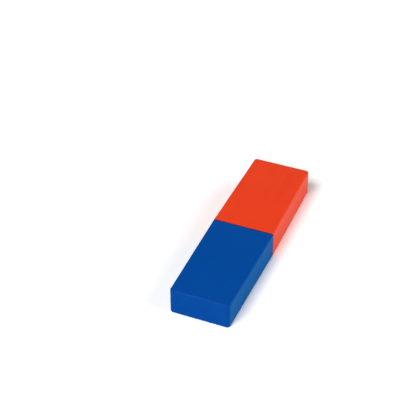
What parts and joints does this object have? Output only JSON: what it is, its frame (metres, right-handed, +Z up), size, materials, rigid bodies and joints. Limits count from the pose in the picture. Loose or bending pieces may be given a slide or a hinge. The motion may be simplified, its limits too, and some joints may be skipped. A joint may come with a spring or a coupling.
{
  "type": "block magnet",
  "caption": "Flat rectangular bar magnet in a plastic case of two moulded caps, red on the north half and blue on the south half.",
  "frame": {"origin": "on the surface that the magnet lies on, under the middle of the seam between its two halves", "axes": "+X along the bar from the blue south half to the red north half, +Y across its width, +Z up through its thickness"},
  "size_m": [0.08, 0.0224, 0.01],
  "materials": {
    "red_plastic": "smooth moulded plastic with a soft gloss",
    "blue_plastic": "smooth moulded plastic with a soft gloss",
    "ferrite": "ground dark grey ceramic",
    "adhesive": "dark cured adhesive, a thin line in the seam's groove"
  },
  "bodies": {
    "root": {"north_cap": "red_plastic", "south_cap": "blue_plastic", "magnet_bar": "ferrite"}
  },
  "joints": []
}
